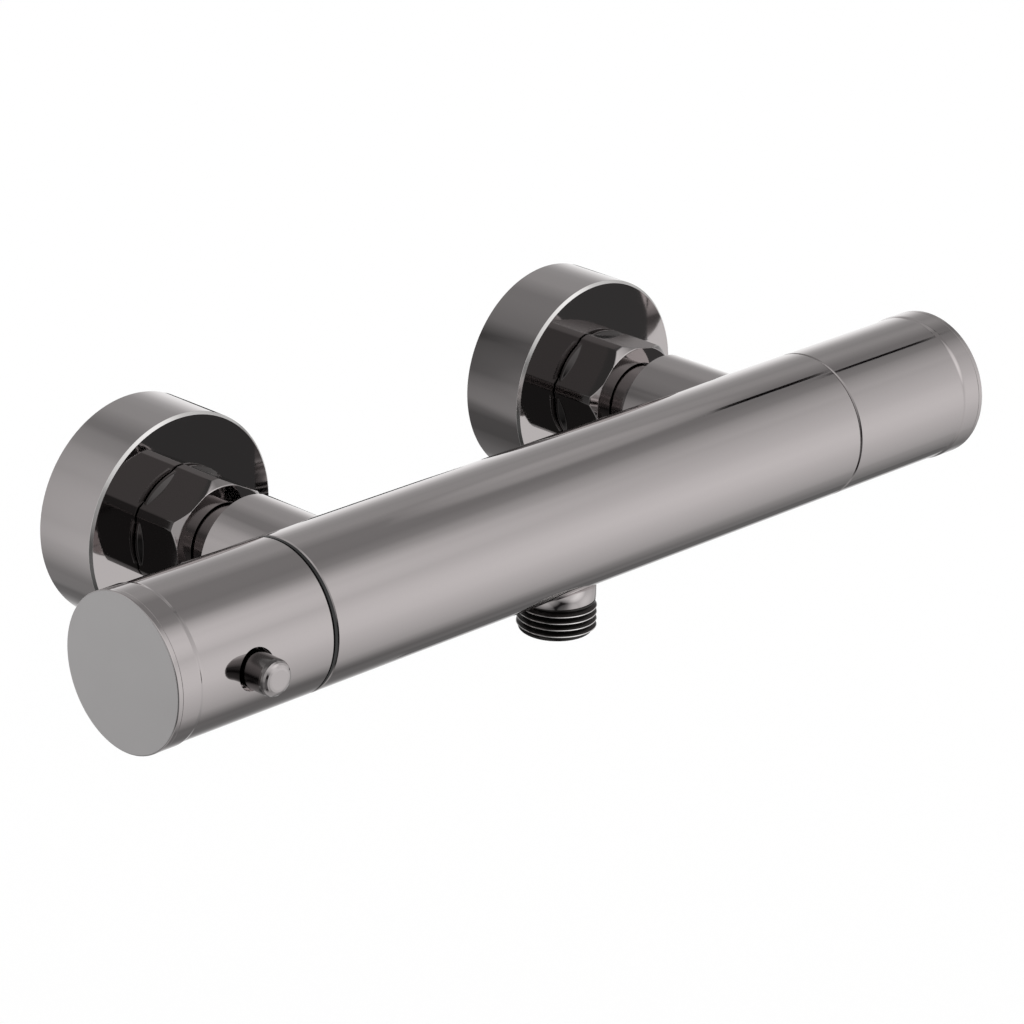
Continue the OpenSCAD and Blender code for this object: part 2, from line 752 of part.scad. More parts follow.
// Sliding tube with a grooved row of holes for each supply. As it moves towards the middle of the
// bar it closes the hot ports and opens the cold ones.
module shuttle() color([0.78, 0.7, 0.5]) on_bar() difference() {
    tube(main_bore_r - run_fit, shuttle_left, shuttle_right);
    tube(main_bore_r - run_fit - shuttle_wall, shuttle_left - over, web_left);
    tube(main_bore_r - run_fit - shuttle_wall, web_left + web_t, shuttle_right + over);
    tube(wax_r + seat_fit, web_left - over, web_left + web_t + over);
    for (x = shuttle_ports) {
        o_groove(x, main_bore_r - run_fit - shuttle_groove, main_bore_r, 2 * port_r);
        for (i = [0:port_count - 1]) rotate([0, 0, i * 360 / port_count]) translate([0, 0, x])
            rotate([0, 90, 0]) cylinder(r = shuttle_port_r, h = chamber_r);
    }
    for (i = [0:web_holes - 1]) rotate([0, 0, i * 360 / web_holes]) translate([web_hole_pcd / 2, 0, 0])
        tube(web_hole_r, web_left - over, web_left + web_t + over);
}

module return_spring() color([0.75, 0.75, 0.78]) on_bar(web_left + web_t + seat_fit)
    coil(return_coil_r, return_wire_r, return_turns, main_bore_right - web_left - web_t - 2 * seat_fit, "return");

// Where the twelve sides of a spindle start, in the hub whose disc starts at the given place
function spline_from(start) = max(start + insert_t / 2, spindle_end - spline_l);

// Outline of a handle sleeve, from its joint to its end face
function sleeve_outline(start, end) = [
    [sleeve_in_r, start], [bar_r - edge, start], [bar_r, start + edge],
    [bar_r, end - band_w - band_slope], [bar_r + band_rise / 4, end - band_w - band_slope / 2],
    [band_r, end - band_w], [band_r, end - cap_t], [sleeve_in_r, end - cap_t]
];

module temperature_handle() color([0.42, 0.41, 0.4]) difference() {
    on_bar() mirror([0, 0, 1]) turned(sleeve_outline(-sleeve_left, face_x));
    to_front(button_x) tube(button_r + button_gap, sleeve_in_r / 2, band_r + over);
}

module flow_handle() color([0.42, 0.41, 0.4]) on_bar() turned(sleeve_outline(sleeve_right, face_x));

// End cap with its snap lip; it covers the whole end of the sleeve
module cap(side) {
    on_bar() mirror([0, 0, side == LEFT ? 1 : 0]) {
        turned([
            [0, face_x - cap_t], [cap_lip_r - cap_lip_t, face_x - cap_t],
            [cap_lip_r - cap_lip_t, face_x - cap_t - cap_lip_l], [cap_lip_r, face_x - cap_t - cap_lip_l],
            [cap_lip_r, face_x - cap_t], [band_r, face_x - cap_t],
            [band_r, face_x - cap_bevel], [band_r - cap_bevel, face_x], [0, face_x]
        ]);
    }
}

module temperature_cap() color([0.52, 0.51, 0.49]) cap(LEFT);

module flow_cap() color([0.52, 0.51, 0.49]) cap(RIGHT);

// Hub between spindle and sleeve: a disc, a hub with twelve sides inside, and a floor for the screw
module insert_hub(start) {
    difference() {
        union() {
            tube(sleeve_in_r - seat_fit, start, start + insert_t);
            tube(insert_hub_r, start, insert_end);
        }
        tube(spindle_r + seat_fit, start - over, spline_from(start));
        translate([0, 0, spline_from(start) - edge])
            cylinder(r = spindle_r + seat_fit, h = spindle_end + seat_fit + edge - spline_from(start), $fn = 12);
        tube(screw_shank_r + seat_fit, spindle_end - over, insert_end + over);
    }
}

module temperature_insert() color([0.88, 0.88, 0.86]) {
    on_bar() mirror([0, 0, 1]) insert_hub(-temp_insert_left - insert_t);
    translate([temp_insert_left + insert_t - edge, bar_y - arm_low - arm_t, -arm_w / 2])
        cube([button_x + arm_w / 2 - temp_insert_left - insert_t + edge, arm_t, arm_w]);
    to_front(button_x) tube(post_foot_r, arm_low + arm_t - edge, post_foot_top);
    to_front(button_x) tube(post_r, post_foot_top - edge, post_top);
}

module flow_insert() color([0.88, 0.88, 0.86]) on_bar() {
    insert_hub(flow_insert_left);
    tongue_a = asin(tongue_w / 2 / stop_in_r);
    sector(stop_r, stop_in_r, front_a - tongue_a, front_a + tongue_a, flow_insert_left - flow_tongue_l,
        flow_insert_left + edge);
}

// Slotted screw that holds a handle on its spindle
module handle_screw() {
    difference() {
        union() {
            tube(screw_head_r, insert_end, insert_end + screw_head_t);
            tube(screw_shank_r, insert_end - screw_shank_l, insert_end);
        }
        translate([-screw_head_r - over, -screw_slot / 2, insert_end + screw_head_t / 2])
            cube([2 * screw_head_r + 2 * over, screw_slot, screw_head_t]);
    }
}

module temperature_screw() color([0.7, 0.7, 0.72]) on_bar() mirror([0, 0, 1]) handle_screw();

module flow_screw() color([0.7, 0.7, 0.72]) on_bar() handle_screw();

// Hollow button that slides on the insert's post, with a flange and a tongue for the stop ring
module safety_button() color([0.5, 0.49, 0.48]) {
    to_front(button_x) difference() {
        turned(concat(
            [[0, button_flange_low], [button_flange_r, button_flange_low],
             [button_flange_r, button_flange_top], [button_r, button_flange_top]],
            [for (a = [0:15:90]) [button_r - button_round * (1 - cos(a)), button_top - button_round * (1 - sin(a))]],
            [[0, button_top]]
        ));
        tube(button_cup_r, button_flange_low - over, button_top - button_lid);
    }
    translate([button_x + button_cup_r + edge, bar_y - button_flange_top, -tongue_w / 2])
        cube([button_tongue_end - button_x - button_cup_r - edge, button_flange_t, tongue_w]);
}

module safety_button_spring() color([0.75, 0.75, 0.78]) to_front(button_x)
    translate([0, 0, post_top + seat_fit])
        coil(button_coil_r, button_wire_r, button_turns, button_top - button_lid - post_top - 2 * seat_fit, "button");

// Flow cartridge: body, seal and the two ceramic discs
module headwork_body() color([0.75, 0.62, 0.33]) on_bar() difference() {
    union() {
        tube(head_r, head_left, body_right - head_thread_l + over);
        tube(head_thread_r, body_right - head_thread_l + seat_fit, body_right);
        hexagon(head_hex_flats, body_right, body_right + head_hex_l);
        tube(head_neck_r, body_right + head_hex_l, head_neck_end);
    }
    tube(disc_bore_r, head_left - over, head_bore_end);
    tube(flow_shaft_r + run_fit, head_bore_end - over, head_neck_end + over);
    o_groove(head_ring_x, head_chamber_r - head_ring_floor, head_r, 2 * head_ring_r + edge);
    translate([-head_r - over, -head_window_w / 2, x_discs + head_window_from])
        cube([2 * head_r + 2 * over, head_window_w, head_window_l]);
}

module headwork_o_ring() color([0.08, 0.08, 0.08]) on_bar()
    o_ring(head_ring_x, head_chamber_r - head_ring_floor, head_ring_r);

module disc_seal() color([0.1, 0.1, 0.1]) on_bar() tube(seal_r, x_seat, x_discs, seal_in_r);

module ceramic_disc(a, turn) {
    difference() {
        tube(disc_r, a, a + disc_t);
        for (side = [LEFT, RIGHT]) rotate([0, 0, turn]) translate([side * disc_port_at, 0, 0])
            tube(disc_port_r, a - over, a + disc_t + over);
    }
}

module fixed_ceramic_disc() color([0.93, 0.93, 0.9]) on_bar() ceramic_disc(x_discs, 0);

module moving_ceramic_disc() color([0.85, 0.86, 0.88]) on_bar() ceramic_disc(x_discs + disc_t, 90);

// Spindle whose slotted foot carries the moving disc and lets the water out to the sides
module flow_spindle() color([0.75, 0.62, 0.33]) on_bar() difference() {
    union() {
        tube(foot_r, x_foot, x_foot + foot_t);
        tube(flow_shaft_r, x_foot + foot_t, head_neck_end);
        tube(spindle_r, head_neck_end, spline_from(flow_insert_left));
        translate([0, 0, spline_from(flow_insert_left)])
            cylinder(r = spindle_r, h = spindle_end - spline_from(flow_insert_left), $fn = 12);
    }
    translate([-foot_slot_w / 2, -foot_r - over, x_foot - over])
        cube([foot_slot_w, 2 * foot_r + 2 * over, foot_slot_l + over]);
    for (x = flow_rings_x) o_groove(x, flow_shaft_r - flow_ring_floor, flow_shaft_r, 2 * flow_ring_r + edge);
    o_groove(head_neck_end + pass_gap + clip_t / 2, clip_groove_r, spindle_r, clip_t + 2 * seat_fit);
    tube(screw_shank_r + seat_fit, spindle_end - screw_shank_l, spindle_end + over);
}

module spindle_o_rings() color([0.08, 0.08, 0.08]) on_bar()
    for (x = flow_rings_x) o_ring(x, flow_shaft_r - flow_ring_floor, flow_ring_r);

module spindle_clip() color([0.7, 0.7, 0.72]) on_bar(head_neck_end + pass_gap)
    tube(clip_r, 0, clip_t, clip_groove_r + seat_fit);

module flow_stop_ring() color([0.9, 0.9, 0.88]) on_bar() {
    start = body_right + head_hex_l;
    tube(stop_r, start, start + stop_t, head_neck_r + seat_fit);
    stop_finger(flow_limit, 0, start + stop_t - edge, start + stop_t + stop_finger_l);
}

valve_body();
outlet_nipple();
outlet_o_ring();
slip_ring();
inlet_tail(x_hot);  // inlet_tail_left
inlet_tail(x_cold);  // inlet_tail_right
union_nut(x_hot, nut_turn_left);  // union_nut_left
union_nut(x_cold, nut_turn_right);  // union_nut_right
inlet_washer(x_hot);  // inlet_washer_left
inlet_washer(x_cold);  // inlet_washer_right
strainer(x_hot);  // strainer_left
strainer(x_cold);  // strainer_right
check_valve_housing(x_hot);  // check_valve_housing_left
check_valve_housing(x_cold);  // check_valve_housing_right
check_valve_poppet(x_hot);  // check_valve_poppet_left
check_valve_poppet(x_cold);  // check_valve_poppet_right
check_valve_spring(x_hot, "check valve left");  // check_valve_spring_left
check_valve_spring(x_cold, "check valve right");  // check_valve_spring_right
eccentric_union(x_hot);  // eccentric_union_left
eccentric_union(x_cold);  // eccentric_union_right
rosette(x_hot);  // rosette_left
rosette(x_cold);  // rosette_right
rosette_gasket(x_hot);  // rosette_gasket_left
rosette_gasket(x_cold);  // rosette_gasket_right
thermostat_housing();
thermostat_o_rings();
cartridge_lock_nut();
temperature_stop_ring();
temperature_spindle();
adjusting_nut();
overload_spring();
push_pin();
wax_element();
shuttle();
return_spring();
temperature_handle();
temperature_insert();
temperature_screw();
temperature_cap();
safety_button();
safety_button_spring();
headwork_body();
headwork_o_ring();
disc_seal();
fixed_ceramic_disc();
moving_ceramic_disc();
flow_spindle();
spindle_o_rings();
spindle_clip();
flow_stop_ring();
flow_handle();
flow_insert();
flow_screw();
flow_cap();
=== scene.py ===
import math

import bmesh
import bpy
from mathutils import Matrix, Vector


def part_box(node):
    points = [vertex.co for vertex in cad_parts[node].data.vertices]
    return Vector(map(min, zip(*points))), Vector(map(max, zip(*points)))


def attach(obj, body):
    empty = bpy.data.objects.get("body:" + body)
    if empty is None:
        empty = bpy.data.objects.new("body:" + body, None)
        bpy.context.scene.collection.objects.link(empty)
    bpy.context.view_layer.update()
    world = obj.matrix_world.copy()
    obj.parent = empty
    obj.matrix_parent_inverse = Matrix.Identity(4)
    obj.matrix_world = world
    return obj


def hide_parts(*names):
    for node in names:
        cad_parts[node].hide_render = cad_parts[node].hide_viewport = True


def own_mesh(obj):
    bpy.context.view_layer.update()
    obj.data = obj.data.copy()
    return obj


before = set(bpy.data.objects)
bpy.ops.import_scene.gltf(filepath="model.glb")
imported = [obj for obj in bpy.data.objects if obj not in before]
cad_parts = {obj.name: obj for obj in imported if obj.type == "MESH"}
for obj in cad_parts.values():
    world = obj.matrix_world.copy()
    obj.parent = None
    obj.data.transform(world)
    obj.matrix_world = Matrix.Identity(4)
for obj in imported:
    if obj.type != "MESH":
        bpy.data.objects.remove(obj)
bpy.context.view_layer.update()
MM = 0.001

# The eccentric unions are plain machined brass, screwed into the pipes in the wall.
# Nothing of them shows on a fitted valve but a glimpse inside the rosettes.
# They are the CAD solids with a brass finish, like every piece that hides inside the valve.


def finish(name, colour, roughness, metal=1.0, wander=0.0, size=60.0, bump=0.0):
    """A surface whose roughness wanders a little, and whose skin may be slightly uneven."""
    cloud_detail, smoothest, relief_height = 3, 0.02, 0.1 * MM
    made = bpy.data.materials.new(name)
    made.use_nodes = True
    links, nodes = made.node_tree.links, made.node_tree.nodes
    skin = nodes["Principled BSDF"]
    skin.inputs["Base Color"].default_value = (*colour, 1)
    skin.inputs["Metallic"].default_value = metal
    skin.inputs["Roughness"].default_value = roughness
    place = nodes.new("ShaderNodeTexCoord")
    cloud = nodes.new("ShaderNodeTexNoise")
    cloud.inputs["Scale"].default_value = size
    cloud.inputs["Detail"].default_value = cloud_detail
    links.new(place.outputs["Object"], cloud.inputs["Vector"])
    if wander:
        spread = nodes.new("ShaderNodeMapRange")
        spread.inputs["To Min"].default_value = max(roughness - wander, smoothest)
        spread.inputs["To Max"].default_value = roughness + wander
        links.new(cloud.outputs["Fac"], spread.inputs["Value"])
        links.new(spread.outputs["Result"], skin.inputs["Roughness"])
    if bump:
        relief = nodes.new("ShaderNodeBump")
        relief.inputs["Strength"].default_value = bump
        relief.inputs["Distance"].default_value = relief_height
        links.new(cloud.outputs["Fac"], relief.inputs["Height"])
        links.new(relief.outputs["Normal"], skin.inputs["Normal"])
    return made


def dress(material, slot, *names):
    """Gives CAD nodes a finish and shades their round faces smooth."""
    crease_angle = math.radians(28)
    for name in names:
        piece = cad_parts[name]
        piece.data.materials.clear()
        piece.data.materials.append(material)
        piece.data.polygons.foreach_set("use_smooth", [True] * len(piece.data.polygons))
        piece.data.set_sharp_from_angle(angle=crease_angle)


bare_brass = finish("bare_brass", (0.72, 0.53, 0.25), 0.3, wander=0.08, size=300)
dress(bare_brass, "bare_brass", "eccentric_union_left", "eccentric_union_right")

# The rosettes are deep spun cups, plated dark and polished, with a soft ring behind them.
# They slide over the unions and close off the holes in the wall.
# The fine bevel round the front edge gets a lighter colour, a painted highlight.


def rounded(corners):
    """Points of an outline with their outward normals. A corner is (along, out, rounding)."""
    step_angle = 12
    flat = [Vector(c[:2]) for c in corners]
    loop = len(flat)
    area = sum(flat[i - 1].x * flat[i].y - flat[i].x * flat[i - 1].y for i in range(loop))
    side = 1 if area > 0 else -1
    points = []
    for i, here in enumerate(flat):
        before = (here - flat[i - 1]).normalized()
        after = (flat[(i + 1) % loop] - here).normalized()
        turn = before.angle_signed(after, 0)
        outward = [side * Vector((d.y, -d.x)) for d in (before, after)]
        reach = corners[i][2] * math.tan(abs(turn) / 2)
        if not corners[i][2]:
            points += [(here, outward[0]), (here, outward[1])]
            continue
        steps = max(2, round(math.degrees(abs(turn)) / step_angle))
        start = here - before * reach
        hub = start - outward[0] * corners[i][2] * (1 if turn * side < 0 else -1)
        for s in range(steps + 1):
            swing = Matrix.Rotation(-turn * s / steps, 2)
            arm = swing @ (start - hub)
            points.append((hub + arm, swing @ outward[0]))
    return points


def turned(name, corners, centre, axis, material, body, replaced=(), sides=256):
    """A turned piece round a level axis, with exact normals, so that polished faces reflect cleanly."""
    on_axis, no_length = 1e-7, 1e-9
    outline = rounded(corners)
    along = Vector(axis)
    first = Vector((0, 0, 1))
    second = along.cross(first)
    spots, aims, rings = [], [], []
    for place, normal in outline:
        count = sides if place.y > on_axis else 1
        rings.append((len(spots), count))
        for k in range(count):
            angle = 2 * math.pi * k / sides
            out = first * math.cos(angle) + second * math.sin(angle)
            spots.append(Vector(centre) + along * place.x + out * place.y)
            if count > 1:
                aims.append(along * normal.x + out * normal.y)
            else:
                aims.append(along * math.copysign(1, normal.x))
    faces = []
    for i, (a, count_a) in enumerate(rings):
        b, count_b = rings[(i + 1) % len(rings)]
        step = outline[i][0] - outline[(i + 1) % len(rings)][0]
        if step.length < no_length or count_a == count_b == 1:
            continue
        for k in range(sides):
            n = (k + 1) % sides
            if count_a == 1:
                face = [a, b + k, b + n]
            elif count_b == 1:
                face = [a + k, b, a + n]
            else:
                face = [a + k, b + k, b + n, a + n]
            faces.append(face)
    mesh = bpy.data.meshes.new(name)
    sample = [Vector(spots[v]) for v in faces[0][:3]]
    facing = (sample[1] - sample[0]).cross(sample[2] - sample[0]).dot(aims[faces[0][0]])
    if facing < 0:
        faces = [f[::-1] for f in faces]
    mesh.from_pydata(spots, [], faces)
    mesh.polygons.foreach_set("use_smooth", [True] * len(mesh.polygons))
    mesh.normals_split_custom_set([aims[loop.vertex_index] for loop in mesh.loops])
    mesh.materials.append(material)
    piece = bpy.data.objects.new(name, mesh)
    bpy.context.scene.collection.objects.link(piece)
    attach(piece, body)
    if replaced:
        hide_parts(*replaced)
    return piece


dark_trim = finish("dark_trim", (0.5, 0.468, 0.466), 0.045, wander=0.015, size=25)
# A light colour on fine rims and bevels, for painted highlights.
painted_highlight_rim = finish("painted_highlight_rim", (0.88, 0.86, 0.85), 0.2, wander=0.04, size=200)
INTO_WALL = (0, 1, 0)
bevel, lip, crease = 0.7 * MM, 0.12 * MM, 0.3 * MM
steep, flat_enough = 0.95, 0.1
for side in ("left", "right"):
    low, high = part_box("rosette_" + side)
    gasket_low, gasket_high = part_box("rosette_gasket_" + side)
    union_low, union_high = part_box("eccentric_union_" + side)
    cup_r = (high.x - low.x) / 2
    hollow_r = (gasket_high.x - gasket_low.x) / 2
    hole_r = (union_high.x - union_low.x) / 2 + crease
    front, skin = low.y, cup_r - hollow_r
    cup = turned("rosette_cup_" + side, [
        (front, hole_r, lip), (front, cup_r - bevel, lip), (front + bevel, cup_r, lip), (0, cup_r, lip),
        (0, hollow_r, lip), (front + skin, hollow_r, crease), (front + skin, hole_r, lip),
    ], ((low.x + high.x) / 2, 0, 0), INTO_WALL, dark_trim, "valve", ("rosette_" + side,))
    cup.data.materials.append(painted_highlight_rim)
    # Faces on the front bevel get the painted highlight colour.
    for face in cup.data.polygons:
        on_bevel = flat_enough < -face.normal.y < steep and face.center.y < front + bevel + lip
        face.material_index = 1 if on_bevel else 0

soft_black = finish("soft_black_rubber", (0.03, 0.03, 0.03), 0.75, metal=0, wander=0.1, size=400, bump=0.2)
dress(soft_black, "rubber", "rosette_gasket_left", "rosette_gasket_right")

# Each inlet holds a flat washer with a mesh in it and a plastic non-return cartridge.
# They hide inside the tail and the nut. The poppet is blue, and squeezes its spring as it opens.
steel = finish("spring_steel", (0.66, 0.65, 0.63), 0.25, wander=0.06, size=300)
moulded = finish("moulded_white", (0.8, 0.79, 0.75), 0.5, metal=0, wander=0.08, size=200)
blue_plastic = finish("moulded_blue", (0.05, 0.14, 0.4), 0.4, metal=0, wander=0.06, size=200)
for side in ("left", "right"):
    dress(soft_black, "rubber", "inlet_washer_" + side)
    dress(steel, "steel", "strainer_" + side, "check_valve_spring_" + side)
    dress(moulded, "white_plastic", "check_valve_housing_" + side)
    dress(blue_plastic, "blue_plastic", "check_valve_poppet_" + side)
    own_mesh(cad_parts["check_valve_spring_" + side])

# The tails are screwed into the body, and the union nuts turn on their flanges.
# Both are plated brass. The tails, and the flats and back of the nuts, get darker colours than the
# chamfered front: painted shade.
# Each nut is its CAD solid with the outer edges rounded off.
same_spot, near = 0.001 * MM, 0.01 * MM


def true_normals(mesh, turns, flats=()):
    """Exact normals for faces turned round an axis, or lying in a flat. turns are (point, axis)."""
    square_on, sideways = 0.9998, 0.045
    aims = [Vector(corner.vector) for corner in mesh.corner_normals]
    for face in mesh.polygons:
        if any(face.normal.dot(flat) > square_on for flat in flats):
            for corner in face.loop_indices:
                aims[corner] = face.normal.copy()
            continue
        for point, axis in turns:
            rise = face.normal.dot(axis)
            arm = face.center - point
            out = (arm - axis * arm.dot(axis)).normalized()
            if abs(rise) > square_on or abs(face.normal.dot(axis.cross(out))) < sideways:
                way = math.copysign(math.sqrt(max(0, 1 - rise * rise)), face.normal.dot(out))
                for corner in face.loop_indices:
                    arm = mesh.vertices[mesh.loops[corner].vertex_index].co - point
                    out = (arm - axis * arm.dot(axis)).normalized()
                    aims[corner] = axis * rise + out * way
                break
    mesh.normals_split_custom_set(aims)


def softened(material, body, name, where, width, steps, turns, flats=()):
    """A copy of a CAD node with some of its sharp edges rounded. where(a, b) picks the edges."""
    sharp_angle, crease_angle, round_profile = math.radians(20), math.radians(9), 0.5
    shape = bmesh.new()
    shape.from_mesh(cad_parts[name].data)
    bmesh.ops.remove_doubles(shape, verts=shape.verts, dist=same_spot)
    sharp = [e for e in shape.edges
             if e.calc_face_angle(0) > sharp_angle and where(e.verts[0].co, e.verts[1].co)]
    bmesh.ops.bevel(shape, geom=sharp, offset=width, segments=steps, profile=round_profile,
                    affect="EDGES", clamp_overlap=False)
    mesh = bpy.data.meshes.new("soft_" + name)
    shape.to_mesh(mesh)
    shape.free()
    mesh.polygons.foreach_set("use_smooth", [True] * len(mesh.polygons))
    mesh.set_sharp_from_angle(angle=crease_angle)
    true_normals(mesh, turns, flats)
    mesh.materials.append(material)
    piece = bpy.data.objects.new("soft_" + name, mesh)
    bpy.context.scene.collection.objects.link(piece)
    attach(piece, body)
    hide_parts(name)
    return piece


# Two darker plates for painted shade: the first on the tails and the button's side, the second nearly
# black on the flats and back of the nuts.
shadow_plate = finish("shadow_plate", (0.2, 0.186, 0.185), 0.12, wander=0.04, size=40)
nut_painted_shade = finish("nut_painted_shade", (0.09, 0.084, 0.083), 0.1, wander=0.03, size=40)
dress(shadow_plate, "plated_dark", "inlet_tail_left", "inlet_tail_right")
corner_from, nut_edge, front_zone = 14.2 * MM, 0.2 * MM, 3 * MM
faces_front, beside_axis = -0.3, 0.01
for side in ("left", "right"):
    name = "union_nut_" + side
    nut_low, nut_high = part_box(name)
    nut_x = (nut_low.x + nut_high.x) / 2
    upright = [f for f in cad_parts[name].data.polygons if abs(f.normal.y) < beside_axis]
    widest = max(upright, key=lambda f: f.area)
    flats = [Matrix.Rotation(math.tau * k / 6, 3, "Y") @ widest.normal for k in range(6)]
    made = softened(dark_trim, "nut_" + side, name, lambda a, b: all(
        math.hypot(v.x - nut_x, v.z) > corner_from or v.y < nut_low.y + near for v in (a, b)),
        nut_edge, 3, [(Vector((nut_x, 0, 0)), Vector(INTO_WALL))], flats)
    # Everything but the chamfered front gets the nearly black colour of painted shade.
    made.data.materials.append(nut_painted_shade)
    for face in made.data.polygons:
        in_front = face.normal.y < faces_front and face.center.y < nut_low.y + front_zone
        face.material_index = 0 if in_front else 1

# The body is a brass casting, turned, plated dark and polished to a mirror.
# Two stubs behind it take the inlets. Its rims are rounded, and the right one gets a lighter colour, a
# painted highlight.
dark_mirror = finish("dark_mirror", (0.5, 0.465, 0.463), 0.05, wander=0.02, size=18)
BAR_Y = (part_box("slip_ring")[0].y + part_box("slip_ring")[1].y) / 2
body_low, body_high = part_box("valve_body")
bar_r, inlet_x, stub_from = body_high.z, 75 * MM, 15 * MM
body_rim, rim_zone, skin_depth = 0.16 * MM, 0.17 * MM, 0.05 * MM
slanted = (0.1, 0.99)
bar_line = (Vector((0, BAR_Y, 0)), Vector((1, 0, 0)))
stub_lines = [(Vector((x, 0, 0)), Vector(INTO_WALL)) for x in (-inlet_x, inlet_x)]


def from_bar(spot):
    """Distance from the middle line of the bar."""
    return math.hypot(spot.y - BAR_Y, spot.z)


def body_edge(a, b):
    """Tells the outer edges at both ends of the bar, and those at the ends of the stubs."""
    at_end = abs(a.x - b.x) < same_spot and min(a.x - body_low.x, body_high.x - a.x) < near
    at_stub_end = min(body_high.y - a.y, body_high.y - b.y) < near
    return at_end and from_bar(a) > bar_r - skin_depth or (
        at_stub_end and math.hypot(abs(a.x) - inlet_x, a.z) > stub_from)


shell = softened(dark_mirror, "valve", "valve_body", body_edge, body_rim, 3,
                 [bar_line] + stub_lines)
shell.data.materials.append(painted_highlight_rim)
# Faces on the right rim get the painted highlight colour.
for face in shell.data.polygons:
    at_rim = body_high.x - face.center.x < rim_zone and bar_r - from_bar(face.center) < rim_zone
    if at_rim and slanted[0] < abs(face.normal.x) < slanted[1]:
        face.material_index = 1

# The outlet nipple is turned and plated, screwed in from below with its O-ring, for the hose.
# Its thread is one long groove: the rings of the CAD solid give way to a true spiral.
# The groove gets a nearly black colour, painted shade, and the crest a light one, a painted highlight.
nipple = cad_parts["outlet_nipple"].data
nipple_low, nipple_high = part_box("outlet_nipple")
crest_r, turns = nipple_high.x, 5
spots = [(math.hypot(v.co.x, v.co.y - BAR_Y), v.co.z) for v in nipple.vertices]
thread_end = nipple_low.z
root_r = max(r for r, z in spots if abs(z - thread_end) < same_spot)
thread_start = max(z for r, z in spots if abs(r - root_r) < 0.02 * MM)
pitch = (thread_start - thread_end) / turns
below_root, run_in, run_out, crest_from = root_r - 0.1 * MM, 0.6 * pitch, 0.4 * pitch, 0.75
square_end, thread_crease = 0.999, math.radians(40)
shape = bmesh.new()
shape.from_mesh(nipple)
bmesh.ops.remove_doubles(shape, verts=shape.verts, dist=same_spot)
rings = [f for f in shape.faces if thread_end < f.calc_center_median().z < thread_start and all(
    math.hypot(v.co.x, v.co.y - BAR_Y) > below_root and v.co.z < thread_start + same_spot
    for v in f.verts) and abs(f.normal.z) < square_end]
bmesh.ops.delete(shape, geom=rings, context="FACES")
crest_shares = ((0, 0), (0.14, 0.3), (0.28, 0.6), (0.42, 0.88), (0.46, 0.97), (0.5, 1), (0.54, 0.97),
                (0.58, 0.88), (0.72, 0.6), (0.86, 0.3))
around, last = 160, None
rows = len(crest_shares)
for row in range(-rows, rows * turns + 1):
    share, height = crest_shares[row % rows]
    circle = []
    for k in range(around + 1):
        deep = pitch * (row // rows + share + k / around)
        fade = max(0, min(1, deep / run_in, (turns * pitch - deep) / run_out))
        r = root_r + (crest_r - root_r) * height * fade
        z = thread_start - min(max(deep, 0), turns * pitch)
        turn = 2 * math.pi * k / around
        circle.append(shape.verts.new((r * math.cos(turn), BAR_Y + r * math.sin(turn), z)))
    if last:
        for k in range(around):
            shape.faces.new((last[k], circle[k], circle[k + 1], last[k + 1]))
    last = circle
bmesh.ops.remove_doubles(shape, verts=shape.verts, dist=2 * same_spot)
# Faces in the groove get painted shade, those on the crest a painted highlight.
for face in shape.faces:
    outs = [math.hypot(v.co.x, v.co.y - BAR_Y) for v in face.verts]
    if thread_end < face.calc_center_median().z < thread_start and min(outs) > below_root:
        face.material_index = 2 if min(outs) > root_r + crest_from * (crest_r - root_r) else 1
mesh = bpy.data.meshes.new("threaded_nipple")
shape.to_mesh(mesh)
shape.free()
mesh.polygons.foreach_set("use_smooth", [True] * len(mesh.polygons))
mesh.set_sharp_from_angle(angle=thread_crease)
mesh.materials.append(dark_trim)
mesh.materials.append(finish("painted_shade_groove", (0.05, 0.047, 0.046), 0.3, wander=0.05, size=300))
mesh.materials.append(finish("painted_highlight_crest", (0.9, 0.88, 0.87), 0.15, wander=0.04, size=300))
threaded = bpy.data.objects.new("threaded_nipple", mesh)
bpy.context.scene.collection.objects.link(threaded)
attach(threaded, "valve")
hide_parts("outlet_nipple")
dress(soft_black, "rubber", "outlet_o_ring")

# A black plastic ring keeps the temperature handle clear of the body.
# It is moulded, and lies in the joint between the two.
slip_black = finish("slip_ring_black", (0.012, 0.012, 0.012), 0.45, metal=0, wander=0.05, size=200)
dress(slip_black, "black_plastic", "slip_ring")

# The thermostatic cartridge sits in the left end of the body, with a lock nut, and hides there.
# It is brass, with rubber rings, steel springs, a plastic stop ring and a copper wax cup.
# The shuttle squeezes the return spring as it moves to the right.
copper = finish("wax_cup_copper", (0.72, 0.36, 0.2), 0.3, wander=0.08, size=200)
dress(bare_brass, "bare_brass", "thermostat_housing", "cartridge_lock_nut", "temperature_spindle",
      "adjusting_nut", "shuttle")
dress(soft_black, "rubber", "thermostat_o_rings")
dress(steel, "steel", "overload_spring", "push_pin", "return_spring")
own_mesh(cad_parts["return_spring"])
dress(copper, "wax_cup", "wax_element")
dress(moulded, "white_plastic", "temperature_stop_ring")

# The temperature handle is a turned sleeve on a plastic insert, plated like the body.
# A satin grey cap closes it, polished at its side like the sleeve.
satin_cap = finish("satin_cap", (0.45, 0.438, 0.438), 0.33, wander=0.03, size=90)


